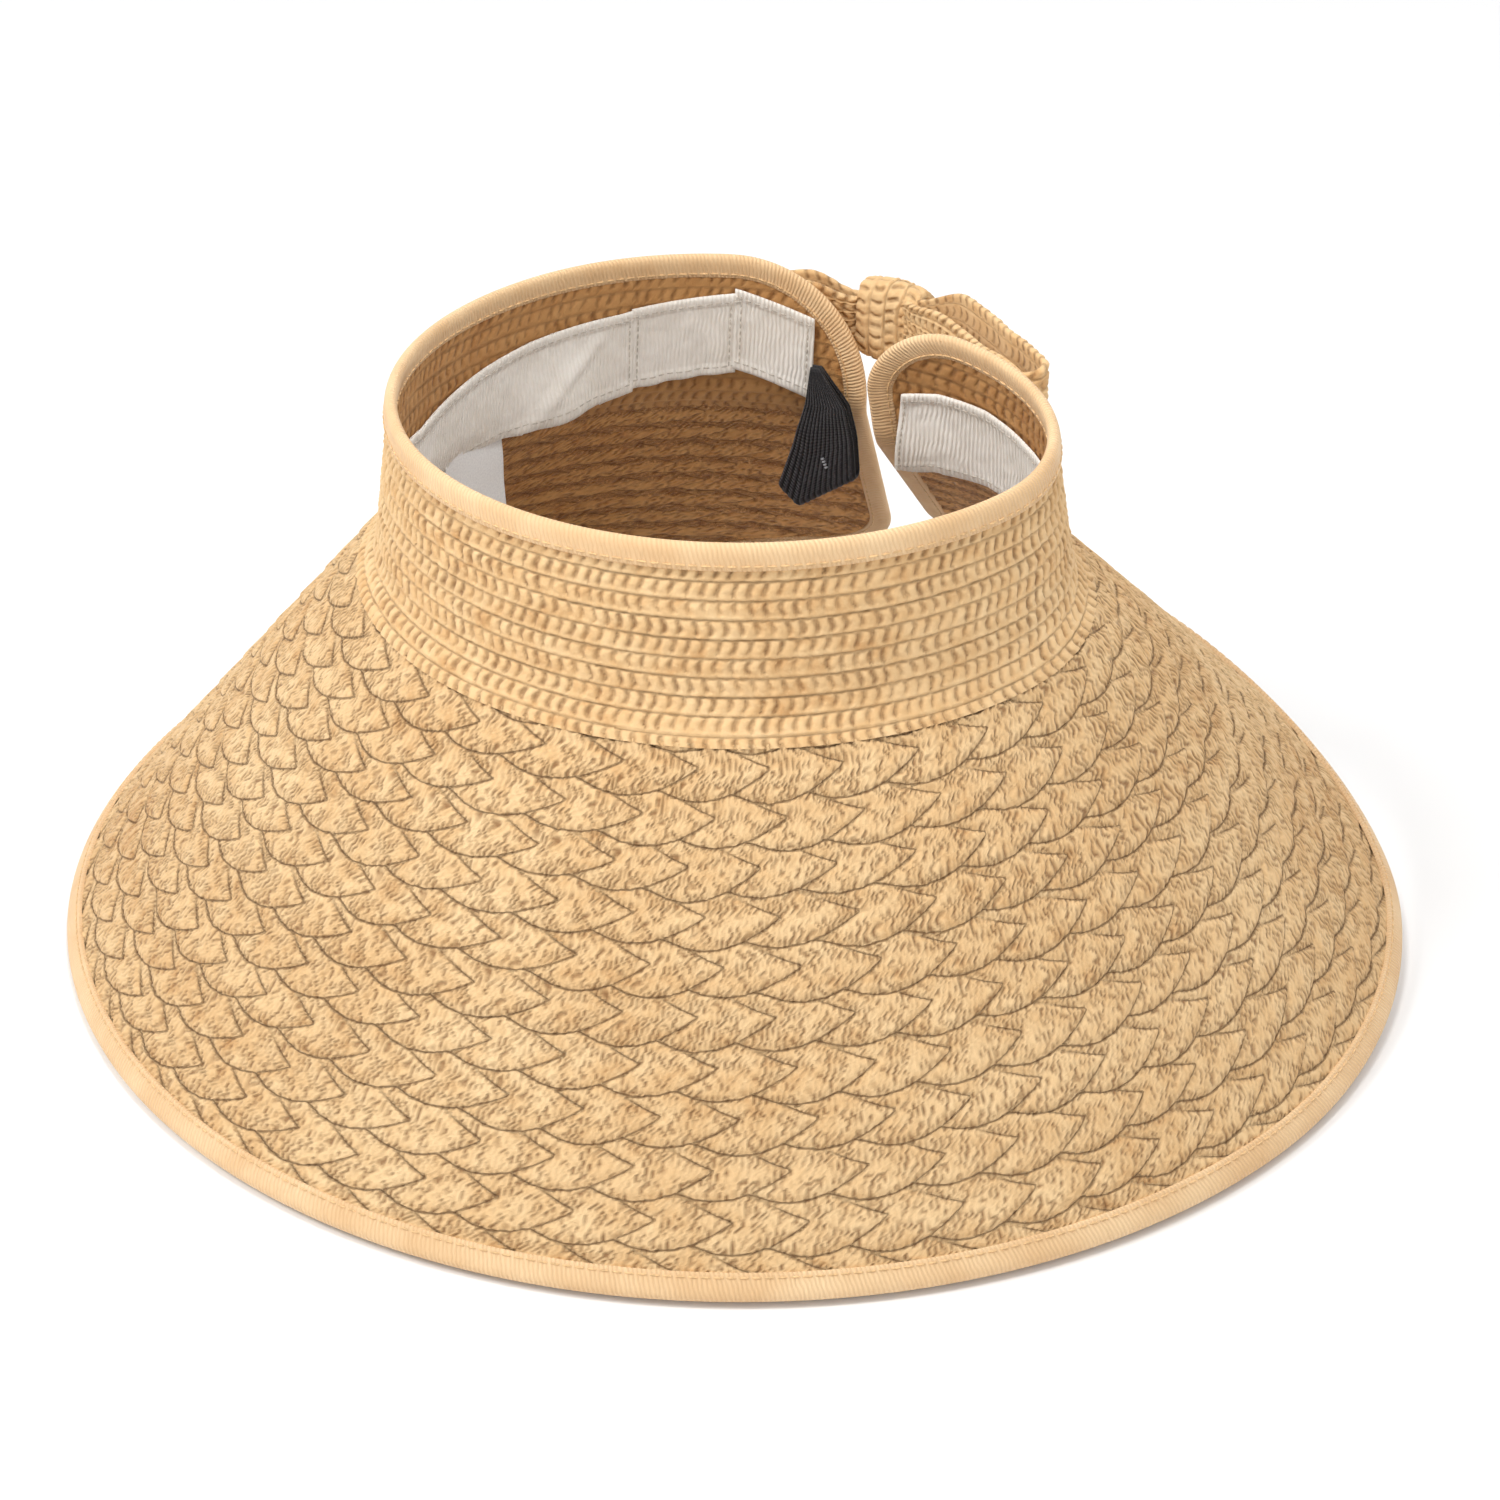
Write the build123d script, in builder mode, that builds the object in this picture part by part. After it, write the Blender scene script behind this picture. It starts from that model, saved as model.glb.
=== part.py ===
"""Roll-up straw sun visor: wide plaited brim, open crown, two rounded back ends and a bow.

Frame: +Z up, the brim's front edge stands on z = 0, the wearer faces -Y. An azimuth is measured
from the front (-Y) towards +X. A slant is measured along the shell from the crown's rim.
The shell is one meridian profile turned about the ring's upright axis over the front and sides,
and about two nearer, slightly leaning axes over the two back ends, which curl inwards.
Lengths are in millimetres and angles in degrees.
"""

import os
from math import cos, degrees, radians, sin

from build123d import *

os.makedirs("parts", exist_ok=True)

# ---- the ring -------------------------------------------------------------------------------
RING = Vector(0.2, 20.0, 0)  # foot of the ring's axis, so the whole visor is centred on the origin
rim_radius = 89.0  # about a 56 cm head, measured at the middle of the straw
rim_height = 149.86
straw = 2.0  # thickness of the sewn braid

# each back end: azimuth where it leaves the ring, its own radius, lean of its axis and its sweep
left_end = dict(side=-1, start=107.0, radius=83.5, lean=-3.4, sweep=67.0)
right_end = dict(side=1, start=79.0, radius=48.0, lean=7.4, sweep=129.0)

# ---- the meridian ---------------------------------------------------------------------------
wall_lean = 7.4
wall_slant = 38.0
waist_radius = 18.0
brim_slope = 49.8
brim_slant = 133.0
wall_angle = 90 - wall_lean
waist_slant = waist_radius * radians(wall_angle - brim_slope)
waist_end = wall_slant + waist_slant
full_slant = waist_end + brim_slant
braid_joint = 51.0  # slant where the fine crown braid meets the wide brim plait

# ---- the back ends --------------------------------------------------------------------------
taper_start = 119.0  # azimuth from which the brim narrows towards the back
taper_end = 170.0
back_cut = {-1: 40.0, 1: 30.0}  # how much narrower the brim is at each end
rim_corner = {-1: 40.0, 1: 24.0}
hem_corner = 26.0
slant_away = {-1: 0.13, 1: 0.18}  # each end draws back by this much for each mm of slant

# ---- tapes, sweatband and small trim --------------------------------------------------------
tape_width = 6.8
tape_thick = 0.7
sweatband_top = 14.0  # slant of its upper edge at the left back end
sweatband_front_top = 19.0  # and over the front, the sides and the right back end
sweatband_width = 25.0
sweatband_thick = 0.9
label_azimuth = -93.0
label_size = (24.0, 30.0, 0.4)  # width, drop, thickness
label_corner = 0.8
label_away = 1.2  # how far inside the sweatband it hangs
keeper_azimuth = -167.5
keeper_seam = 30.0  # slant of the seam it hangs from
keeper_away = 2.2  # how far inside the sweatband it hangs
keeper_size = (20.0, 40.0, 5.0)  # width, hanging length, and thickness of the folded loop
keeper_strap = 1.3
keeper_skew = 12.0

# ---- the bow --------------------------------------------------------------------------------
bow_height = 128.4  # of the bow's middle line
bow_straw = 1.6
bow_thick = 8.4  # of a flattened loop
waist_half = 10.0
wing_half = 18.5
tip_drop = 14.0  # how far the right loop's tip reaches below the middle line
knot_size = (20.0, 12.0, 24.0)
knot_round = 2.5
hinge_point = RING + Vector(-17.4, 97.0, 0)  # where the bow's free half bends away
left_wing = (-167.0, -126.0)  # azimuths that the sewn loop spans
right_tip = RING + Vector(51.8, 58.8, 0)
right_bulge = RING + Vector(23.8, 77.2, 0)
patch_slants = (14.0, 34.0)
patch_azimuths = (157.0, 172.0)
patch_thick = 1.2
clear = 0.3


def outward(azimuth):
    return Vector(sin(radians(azimuth)), -cos(radians(azimuth)), 0)


def end_axis(end):
    """The axis that a back end is turned about: it lies in the section where the end begins."""
    n = outward(end["side"] * end["start"])
    lean = radians(end["lean"])
    along = n * sin(lean) + Vector(0, 0, cos(lean))
    across = n * cos(lean) - Vector(0, 0, sin(lean))
    rim = RING + n * rim_radius + Vector(0, 0, rim_height)
    return Axis(rim - across * end["radius"], along * end["side"])


main_axis = Axis(RING, (0, 0, 1))
axes = {-1: end_axis(left_end), 1: end_axis(right_end)}
ends = {-1: left_end, 1: right_end}


def turned(point, axis, angle):
    return axis.position + (point - axis.position).rotate(Axis((0, 0, 0), axis.direction), angle)


def section_plane(azimuth):
    """The plane of the meridian at an azimuth: local x is outward and local y is up."""
    side = 1 if azimuth > 0 else -1
    end = ends[side]
    past = abs(azimuth) - end["start"]
    if past <= 0:
        n = outward(azimuth)
        return Plane(RING, x_dir=n, z_dir=n.cross(Vector(0, 0, 1)))
    axis = axes[side]
    n = outward(side * end["start"])
    turn = Axis((0, 0, 0), axis.direction)
    normal = n.cross(Vector(0, 0, 1)).rotate(turn, past)
    return Plane(turned(RING, axis, past), x_dir=n.rotate(turn, past), z_dir=normal)


def meridian(slant, depth=0.0):
    """Local (radius, height) of the shell at a slant; depth is measured outward from its middle."""
    wall = radians(wall_angle)
    slope = radians(brim_slope)
    bend = min(max(slant - wall_slant, 0), waist_slant) / waist_radius
    here = wall - bend
    along_wall = min(slant, wall_slant)
    along_brim = max(slant - waist_end, 0)
    r = rim_radius + along_wall * cos(wall) + along_brim * cos(slope)
    z = rim_height - along_wall * sin(wall) - along_brim * sin(slope)
    r += waist_radius * (sin(wall) - sin(here))
    z -= waist_radius * (cos(here) - cos(wall))
    return (r + depth * sin(here), z + depth * cos(here))


def shell_point(azimuth, slant, depth=0.0):
    return section_plane(azimuth).from_local_coords(Vector(*meridian(slant, depth), 0))


def profile(plane, strips):
    """Strips of the meridian profile on a plane, each (top, bottom, inner, outer, mode)."""
    with BuildSketch(plane) as section:
        for top, bottom, inner, outer, mode in strips:
            stops = [top] + [s for s in (wall_slant, waist_end) if top < s < bottom] + [bottom]
            with BuildLine():
                for depth, slants in ((outer, stops), (inner, stops[::-1])):
                    for a, b in zip(slants, slants[1:]):
                        start, stop = meridian(a, depth), meridian(b, depth)
                        if wall_slant <= (a + b) / 2 <= waist_end:
                            ThreePointArc(start, meridian((a + b) / 2, depth), stop)
                        else:
                            Line(start, stop)
                for slant in (top, bottom):
                    Line(meridian(slant, inner), meridian(slant, outer))
            make_face(mode=mode)
    return section.sketch


def ring(start, stop, strips):
    """Turns a profile along the ring from one azimuth to another, across the end zones."""
    low, high = max(start, -left_end["start"]), min(stop, right_end["start"])
    if low < high:
        revolve(profile(section_plane(low), strips), axis=main_axis, revolution_arc=high - low)
    if start < -left_end["start"]:
        near = min(stop, -left_end["start"])
        revolve(profile(section_plane(near), strips), axis=axes[-1], revolution_arc=near - start)
    if stop > right_end["start"]:
        near = max(start, right_end["start"])
        revolve(profile(section_plane(near), strips), axis=axes[1], revolution_arc=stop - near)


end_azimuth = {side: side * (end["start"] + end["sweep"]) for side, end in ends.items()}
spare = 1.5  # the shell is turned this much past an end before it is trimmed
beyond_end = {side: azimuth + side * spare for side, azimuth in end_azimuth.items()}


def brim_edge(side, azimuth):
    """Slant of the brim's outer edge, which draws in towards the back."""
    t = min(max((abs(azimuth) - taper_start) / (taper_end - taper_start), 0), 1)
    return full_slant - back_cut[side] * t * t * (3 - 2 * t)


def end_outline(side, inset):
    """The trimmed outline of a back end as (azimuth, slant), from the rim to the taper's start."""
    radius = ends[side]["radius"]
    last = end_azimuth[side]
    hem = brim_edge(side, last)
    corner = rim_corner[side]

    def along(slant, distance):
        """The azimuth at a distance back from the end line, measured on the shell."""
        local = radius + meridian(slant)[0] - rim_radius
        away = distance + slant_away[side] * max(slant - corner, 0)
        return last - side * degrees(away / local)

    path = []
    for k in range(5):
        t = radians(90 * k / 4)
        slant = corner - (corner - inset) * cos(t)
        path.append((along(slant, corner - (corner - inset) * sin(t)), slant))
    low = hem - hem_corner
    for k in (1, 2):
        slant = corner + (low - corner) * k / 3
        path.append((along(slant, inset), slant))
    for k in range(5):
        t = radians(90 * k / 4)
        slant = low + (hem_corner - inset) * sin(t)
        azimuth = along(slant, hem_corner - (hem_corner - inset) * cos(t))
        path.append((azimuth, slant + (brim_edge(side, azimuth) - hem) * sin(t)))
    edge_start = abs(path[-1][0])
    for k in range(1, 6):
        azimuth = side * (edge_start + (taper_start - edge_start) * k / 5)
        path.append((azimuth, brim_edge(side, azimuth) - inset))
    return path


rim_meet = {side: shell_point(*end_outline(side, 0)[0]).X for side in (-1, 1)}
brim_meet = {side: shell_point(*end_outline(side, 0)[-1]).X for side in (-1, 1)}
far = 260.0
above = rim_height + 60
below = -60.0


def end_keeper(side, inset):
    """A block, long in Y, that holds the part of a back end inside its trimmed outline."""
    points = [shell_point(a, s) for a, s in end_outline(side, inset)]
    inner = [(p.X, p.Z) for p in points[1:-1]]
    start = (rim_meet[side], points[0].Z)
    stop = (brim_meet[side], points[-1].Z)
    with BuildPart(mode=Mode.PRIVATE) as block:
        with BuildSketch(Plane.XZ):
            with BuildLine():
                Spline(start, *inner, stop)
                Polyline(stop, (stop[0], below), (far * side, below), (far * side, above),
                         (start[0], above), start)
            make_face()
        extrude(amount=far, both=True)
    return block.part


def side_keeper(meet):
    """A block that holds everything further out than a meeting plane."""
    reach = far if meet > 0 else -far
    with BuildPart(mode=Mode.PRIVATE) as block:
        with BuildSketch(Plane.XZ):
            with BuildLine():
                Polyline((meet, below), (reach, below), (reach, above), (meet, above), close=True)
            make_face()
        extrude(amount=far, both=True)
    return block.part


keep_tape = {side: end_keeper(side, 0.0) for side in (-1, 1)}
keep_straw = {side: end_keeper(side, tape_thick) for side in (-1, 1)}
keep_field = {side: end_keeper(side, tape_width) for side in (-1, 1)}
keep_rim = {side: side_keeper(rim_meet[side]) for side in (-1, 1)}
keep_brim = {side: side_keeper(brim_meet[side]) for side in (-1, 1)}


def shell(strips, keep):
    """The whole ring of one profile, with both back ends trimmed to an outline."""
    for side in (-1, 1):
        join = side * ends[side]["start"]
        with BuildPart(mode=Mode.PRIVATE) as piece:
            ring(min(join, beyond_end[side]), max(join, beyond_end[side]), strips)
            add(keep[side], mode=Mode.INTERSECT)
        add(piece.part)
    ring(-left_end["start"], right_end["start"], strips)


def finish(builder, label):
    builder.part.label = label
    export_step(builder.part, f"parts/{label}.step")


half = straw / 2
proud = half + tape_thick

# ---- straw ----------------------------------------------------------------------------------
with BuildPart() as crown_braid:
    shell([(tape_thick, braid_joint, -half, half, Mode.ADD)], keep_straw)
finish(crown_braid, "crown_braid")

with BuildPart() as brim_braid:
    shell([(braid_joint, full_slant - tape_thick, -half, half, Mode.ADD)], keep_straw)
finish(brim_braid, "brim_braid")

# ---- binding tape ---------------------------------------------------------------------------
rim_fold = [(0, tape_width, -proud, proud, Mode.ADD),
            (tape_thick, tape_width, -half, half, Mode.SUBTRACT)]
brim_fold = [(full_slant - tape_width, full_slant, -proud, proud, Mode.ADD),
             (full_slant - tape_width, full_slant - tape_thick, -half, half, Mode.SUBTRACT)]
both_faces = [(0, full_slant, -proud, proud, Mode.ADD)]
straw_only = [(0, full_slant, -half, half, Mode.ADD)]


def end_zone(side, strips, keep):
    """One profile turned over one back end only, trimmed to an outline."""
    join = side * ends[side]["start"]
    with BuildPart(mode=Mode.PRIVATE) as piece:
        ring(min(join, beyond_end[side]), max(join, beyond_end[side]), strips)
        add(keep[side], mode=Mode.INTERSECT)
    return piece.part


for side, word in ((-1, "left"), (1, "right")):
    with BuildPart() as end_binding:
        add(end_zone(side, both_faces, keep_tape))
        add(keep_field[side], mode=Mode.SUBTRACT)
        add(end_zone(side, straw_only, keep_straw), mode=Mode.SUBTRACT)
    finish(end_binding, f"{word}_end_binding")

with BuildPart() as rim_binding:
    shell(rim_fold, keep_rim)
finish(rim_binding, "rim_binding")

with BuildPart() as brim_binding:
    shell(brim_fold, keep_brim)
finish(brim_binding, "brim_binding")

# ---- sweatband, in the stretches that its upright seams leave ---------------------------------
sweatband = {
    "sweatband_main": (-128.0, 96.0, sweatband_front_top),
    "sweatband_left_panel": (-148.0, -128.0, sweatband_top),
    "sweatband_left_end": (-163.0, -148.0, sweatband_front_top),
    "sweatband_right_end": (96.0, 197.0, sweatband_front_top),
}
for label, (start, stop, top) in sweatband.items():
    with BuildPart() as stretch:
        inside = -half - sweatband_thick
        ring(start, stop, [(top, top + sweatband_width, inside, -half, Mode.ADD)])
    finish(stretch, label)


def hanging_plane(azimuth, slant, depth):
    """An upright plane just inside the shell: local x runs along the ring and local y is up."""
    point = shell_point(azimuth, slant, depth)
    n = outward(azimuth)
    return Plane(point, x_dir=Vector(0, 0, 1).cross(n), z_dir=n)


# ---- care label, blank -----------------------------------------------------------------------
label_width, label_drop, label_thick = label_size
label_seam = sweatband_front_top + sweatband_width
with BuildPart() as care_label:
    seam = hanging_plane(label_azimuth, label_seam, -half - sweatband_thick - label_away)
    with BuildSketch(seam):
        with Locations((0, -label_drop / 2)):
            RectangleRounded(label_width, label_drop, label_corner)
    extrude(amount=-label_thick)
finish(care_label, "care_label")

# ---- elastic keeper loop, folded in half and hanging from the left end ------------------------
keeper_width, keeper_drop, keeper_thick = keeper_size
with BuildPart() as keeper_loop:
    depth = -half - sweatband_thick - keeper_away
    seam = hanging_plane(keeper_azimuth, keeper_seam, depth)
    across = seam.x_dir.rotate(Axis((0, 0, 0), seam.z_dir), keeper_skew)
    folded = Plane(seam.origin - across * keeper_width / 2, x_dir=-seam.z_dir, z_dir=across)
    with BuildSketch(folded):
        with Locations((keeper_thick / 2, -keeper_drop / 2)):
            SlotOverall(keeper_drop, keeper_thick, rotation=90)
            SlotOverall(keeper_drop - 2 * keeper_strap, keeper_thick - 2 * keeper_strap,
                        rotation=90, mode=Mode.SUBTRACT)
    extrude(amount=keeper_width)
finish(keeper_loop, "keeper_loop")

# ---- bow --------------------------------------------------------------------------------------


def wing_outline(root, tip, waist_run, swell, drop):
    """A block that gives a loop its side view: narrow at the waist and full at the tip."""
    along = (tip - root).normalized()
    length = (tip - root).length + bow_thick
    with BuildPart(mode=Mode.PRIVATE) as block:
        with BuildSketch(Plane(root + Vector(0, 0, bow_height), x_dir=along,
                               z_dir=along.cross(Vector(0, 0, 1)))):
            with BuildLine():
                Polyline((-waist_run, waist_half), (waist_run, waist_half), (swell, wing_half),
                         (length, wing_half), (length, -drop), (swell, -wing_half),
                         (waist_run, -waist_half), (-waist_run, -waist_half), close=True)
            make_face()
        extrude(amount=60, both=True)
    return block.part


knot_length, knot_thick, knot_height = knot_size
knot_middle = hinge_point + Vector(knot_length / 2 - knot_thick / 2, 0, bow_height)
with BuildPart() as bow_knot:
    with BuildSketch(Plane(knot_middle - Vector(0, 0, knot_height / 2))):
        SlotOverall(knot_length, knot_thick)
    extrude(amount=knot_height)
    fillet(bow_knot.edges().filter_by(lambda e: abs(e.tangent_at(0).Z) < 0.5), radius=knot_round)
finish(bow_knot, "bow_knot")

with BuildPart() as bow_left_loop:
    start, stop = left_wing
    near = proud + 0.05
    fold = degrees(bow_straw / (left_end["radius"] + bow_thick))
    top, bottom = 1.0, 43.0
    ring(start, stop, [(top, bottom, near, near + bow_thick, Mode.ADD)])
    with BuildPart(mode=Mode.PRIVATE) as hollow:
        ring(start + fold, stop - fold,
             [(top - 9, bottom + 9, near + bow_straw, near + bow_thick - bow_straw, Mode.ADD)])
    add(hollow.part, mode=Mode.SUBTRACT)
    root = shell_point(start, 20, near + bow_thick / 2)
    tip = shell_point(stop, 20, near + bow_thick / 2)
    root, tip = Vector(root.X, root.Y, 0), Vector(tip.X, tip.Y, 0)
    add(wing_outline(root, tip, 4.0, 26.0, wing_half), mode=Mode.INTERSECT)
finish(bow_left_loop, "bow_left_loop")

with BuildPart() as bow_right_loop:
    root = hinge_point + Vector(4, 0, 0)
    lower = Vector(0, 0, bow_height - wing_half)
    with BuildSketch(Plane((0, 0, lower.Z))):
        with BuildLine(mode=Mode.PRIVATE) as spine:
            ThreePointArc(root, right_bulge, right_tip)
        SlotArc(spine.edges()[0], bow_thick)
        SlotArc(spine.edges()[0], bow_thick - 2 * bow_straw, mode=Mode.SUBTRACT)
    extrude(amount=2 * wing_half)
    knot_end = hinge_point + Vector(knot_length - knot_thick / 2, 0, 0)
    with BuildSketch(Plane((0, 0, lower.Z))):
        with Locations((knot_end.X - 20, knot_end.Y)):
            Rectangle(40, 40)
    extrude(amount=2 * wing_half, mode=Mode.SUBTRACT)
    add(wing_outline(knot_end, right_tip, 2.0, 24.0, tip_drop), mode=Mode.INTERSECT)
finish(bow_right_loop, "bow_right_loop")

# ---- hook and loop closure --------------------------------------------------------------------
upper_slant, lower_slant = patch_slants
for label, depth in (("closure_loop_strip", half), ("closure_hook_strip", half + patch_thick + clear)):
    with BuildPart() as patch:
        ring(*patch_azimuths, [(upper_slant, lower_slant, depth, depth + patch_thick, Mode.ADD)])
    finish(patch, label)
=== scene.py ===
"""Looks of the straw sun visor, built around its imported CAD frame. Lengths are in millimetres
inside the shape code and in metres on the meshes."""
import math

import bpy
import numpy as np
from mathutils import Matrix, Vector


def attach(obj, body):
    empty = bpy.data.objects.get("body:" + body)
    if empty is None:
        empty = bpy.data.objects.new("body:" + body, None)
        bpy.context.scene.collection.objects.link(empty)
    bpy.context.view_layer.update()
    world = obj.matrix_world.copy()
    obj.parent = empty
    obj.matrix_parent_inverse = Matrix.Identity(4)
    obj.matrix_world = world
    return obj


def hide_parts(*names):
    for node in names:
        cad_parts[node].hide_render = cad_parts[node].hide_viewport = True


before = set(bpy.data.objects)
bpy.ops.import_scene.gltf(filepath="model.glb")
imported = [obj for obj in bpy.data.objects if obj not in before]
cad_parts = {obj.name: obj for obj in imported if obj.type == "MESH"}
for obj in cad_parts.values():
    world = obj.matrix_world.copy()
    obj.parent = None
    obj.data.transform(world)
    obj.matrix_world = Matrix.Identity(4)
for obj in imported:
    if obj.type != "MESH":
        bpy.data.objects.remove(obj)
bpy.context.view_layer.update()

# ---- the shell, as in the CAD source ----
RING = np.array((0.2, 20.0, 0.0))
RIM_RADIUS, RIM_HEIGHT = 89.0, 149.86
# the back ends turn about axes of their own; by side: start, radius, lean and sweep
ENDS = {-1: (107.0, 83.5, -3.4, 67.0), 1: (79.0, 48.0, 7.4, 129.0)}
WALL_ANGLE, WALL, WAIST_RADIUS = math.radians(82.6), 38.0, 18.0
SLOPE, BRIM = math.radians(49.8), 133.0
WAIST = WAIST_RADIUS * (WALL_ANGLE - SLOPE)
FULL = WALL + WAIST + BRIM
JOINT = 51.0  # slant of the seam between crown and brim
TAPER, CUT = (119.0, 170.0), {-1: 40.0, 1: 30.0}  # where and how far the brim narrows
RIM_CORNER, HEM_CORNER, SLANT_AWAY = {-1: 40.0, 1: 24.0}, 26.0, {-1: 0.13, 1: 0.18}
PLAIT_ROW = 11.9  # pitch of the brim's plait rows
KEEPER_WIDE, KEEPER_RIB = 20.9, 1.5
TAPE_RIB, COTTON_RIB = 1.15, 1.3  # pitches of the woven ribs
KNOT_LEFT, KNOT_RIGHT, KNOT_Y, BOW_Z = -23.0, -3.4, 117.0, 128.4


def outward(azimuth):
    a = np.radians(azimuth)
    return np.stack([np.sin(a), -np.cos(a), np.zeros_like(a)], -1)


def end_axis(side):
    start, radius, lean, _ = ENDS[side]
    n, lean = outward(np.float64(side * start)), math.radians(lean)
    up = np.array((0, 0, 1.0))
    along = n * math.sin(lean) + up * math.cos(lean)
    across = n * math.cos(lean) - up * math.sin(lean)
    return RING + n * RIM_RADIUS + up * RIM_HEIGHT - across * radius, along * side


AXES = {side: end_axis(side) for side in ENDS}


def rotate(v, axis, angle):
    """Turns vectors about an axis through the origin by angles in radians."""
    c, s = np.cos(angle)[..., None], np.sin(angle)[..., None]
    return v * c + np.cross(axis, v) * s + axis * (v @ axis)[..., None] * (1 - c)


def meridian(slant, depth):
    here = WALL_ANGLE - np.clip(slant - WALL, 0, WAIST) / WAIST_RADIUS
    along_wall, along_brim = np.minimum(slant, WALL), np.maximum(slant - WALL - WAIST, 0)
    r = RIM_RADIUS + along_wall * math.cos(WALL_ANGLE) + along_brim * math.cos(SLOPE)
    z = RIM_HEIGHT - along_wall * math.sin(WALL_ANGLE) - along_brim * math.sin(SLOPE)
    r = r + WAIST_RADIUS * (math.sin(WALL_ANGLE) - np.sin(here)) + depth * np.sin(here)
    z = z - WAIST_RADIUS * (np.cos(here) - math.cos(WALL_ANGLE)) + depth * np.cos(here)
    return r, z


def shell(azimuth, slant, depth):
    """Points of the shell: azimuth in degrees, slant and depth in mm."""
    azimuth, slant, depth = np.broadcast_arrays(np.asarray(azimuth, float), slant, depth)
    r, z = meridian(slant, depth)
    low, high = -ENDS[-1][0], ENDS[1][0]
    n = outward(np.clip(azimuth, low, high))
    p = RING + n * r[..., None]
    p[..., 2] = z
    for side in (-1, 1):
        past = np.radians(np.maximum(side * azimuth - ENDS[side][0], 0))
        where, direction = AXES[side]
        turned = where + rotate(p - where, direction, past)
        p = np.where((past > 0)[..., None], turned, p)
    return p


def brim_edge(side, azimuth):
    t = np.clip((np.abs(azimuth) - TAPER[0]) / (TAPER[1] - TAPER[0]), 0, 1)
    return FULL - CUT[side] * t * t * (3 - 2 * t)


def local_radius(side, slant):
    return ENDS[side][1] + meridian(np.asarray(slant, float), 0.0)[0] - RIM_RADIUS


def end_outline(side, n=16):
    """The outline of a back end as (azimuth, slant), from the rim to the taper's start."""
    last = side * (ENDS[side][0] + ENDS[side][3])
    hem = float(brim_edge(side, last))
    corner = RIM_CORNER[side]

    def along(slant, distance):
        away = distance + SLANT_AWAY[side] * max(slant - corner, 0)
        return last - side * math.degrees(away / float(local_radius(side, slant)))

    path = []
    for k in range(n + 1):
        t = math.pi / 2 * k / n
        slant = corner * (1 - math.cos(t))
        path.append((along(slant, corner * (1 - math.sin(t))), slant))
    low = hem - HEM_CORNER
    for k in range(1, 4 * n):
        slant = corner + (low - corner) * k / (4 * n)
        path.append((along(slant, 0.0), slant))
    for k in range(n + 1):
        t = math.pi / 2 * k / n
        slant = low + HEM_CORNER * math.sin(t)
        azimuth = along(slant, HEM_CORNER * (1 - math.cos(t)))
        path.append((azimuth, slant + (float(brim_edge(side, azimuth)) - hem) * math.sin(t)))
    first = abs(path[-1][0])
    for k in range(1, 4 * n + 1):
        azimuth = side * (first + (TAPER[0] - first) * k / (4 * n))
        path.append((azimuth, float(brim_edge(side, azimuth))))
    return np.array(path)


OUTLINE = {side: end_outline(side) for side in (-1, 1)}


def limit(side, slant):
    """How far round the shell reaches on a side at a slant, in degrees."""
    path = OUTLINE[side]
    s = np.maximum.accumulate(path[:, 1] + np.arange(len(path)) * 1e-6)
    return np.abs(np.interp(slant, s, path[:, 0]))


# ---- mesh helpers ----
def mesh_object(name, points, faces, body, material, attributes=None):
    mesh = bpy.data.meshes.new(name)
    points = np.asarray(points, np.float64).reshape(-1, 3) * 1e-3
    faces = np.asarray(faces, np.int32)
    mesh.vertices.add(len(points))
    mesh.vertices.foreach_set("co", points.astype(np.float32).ravel())
    size = faces.shape[1]
    mesh.loops.add(faces.size)
    mesh.loops.foreach_set("vertex_index", faces.ravel())
    mesh.polygons.add(len(faces))
    mesh.polygons.foreach_set("loop_start", np.arange(0, faces.size, size, dtype=np.int32))
    mesh.polygons.foreach_set("loop_total", np.full(len(faces), size, np.int32))
    mesh.update(calc_edges=True)
    for key, values in (attributes or {}).items():
        values = np.asarray(values, np.float32)
        kind = "FLOAT_VECTOR" if values.ndim == 2 else "FLOAT"
        layer = mesh.attributes.new(key, kind, "POINT")
        layer.data.foreach_set("vector" if values.ndim == 2 else "value", values.ravel())
    mesh.validate()
    mesh.polygons.foreach_set("use_smooth", np.ones(len(mesh.polygons), bool))
    thing = bpy.data.objects.new(name, mesh)
    bpy.context.scene.collection.objects.link(thing)
    mesh.materials.append(material)
    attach(thing, body)
    return thing


def cells_of(index):
    return np.stack([index[:-1, :-1], index[:-1, 1:], index[1:, 1:], index[1:, :-1]], -1)


def grid_faces(rows, columns, keep=None, flip=False):
    quads = cells_of(np.arange(rows * columns).reshape(rows, columns))
    if flip:
        quads = quads[..., ::-1]
    if keep is not None:
        quads = quads[keep]
    return quads.reshape(-1, 4)


def compact(points, faces, attributes):
    """Drops the points that no face uses."""
    used, faces = np.unique(faces, return_inverse=True)
    return points[used], faces.reshape(-1, 4), {k: v[used] for k, v in attributes.items()}


def smooth_noise(x, y, seed, scale=1.0):
    """A smooth random field from -1 to 1: value noise on a grid that repeats far apart."""
    table = np.random.default_rng(seed).uniform(-1, 1, (64, 64))
    x, y = np.asarray(x) / scale, np.asarray(y) / scale
    i, j = np.floor(x).astype(int), np.floor(y).astype(int)
    u, v = x - i, y - j
    u, v = u * u * (3 - 2 * u), v * v * (3 - 2 * v)
    a, b = table[i % 64, j % 64], table[(i + 1) % 64, j % 64]
    c, d = table[i % 64, (j + 1) % 64], table[(i + 1) % 64, (j + 1) % 64]
    return (a * (1 - u) + b * u) * (1 - v) + (c * (1 - u) + d * u) * v


def ease(x, low, high):
    t = np.clip((x - low) / (high - low), 0, 1)
    return t * t * (3 - 2 * t)


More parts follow.
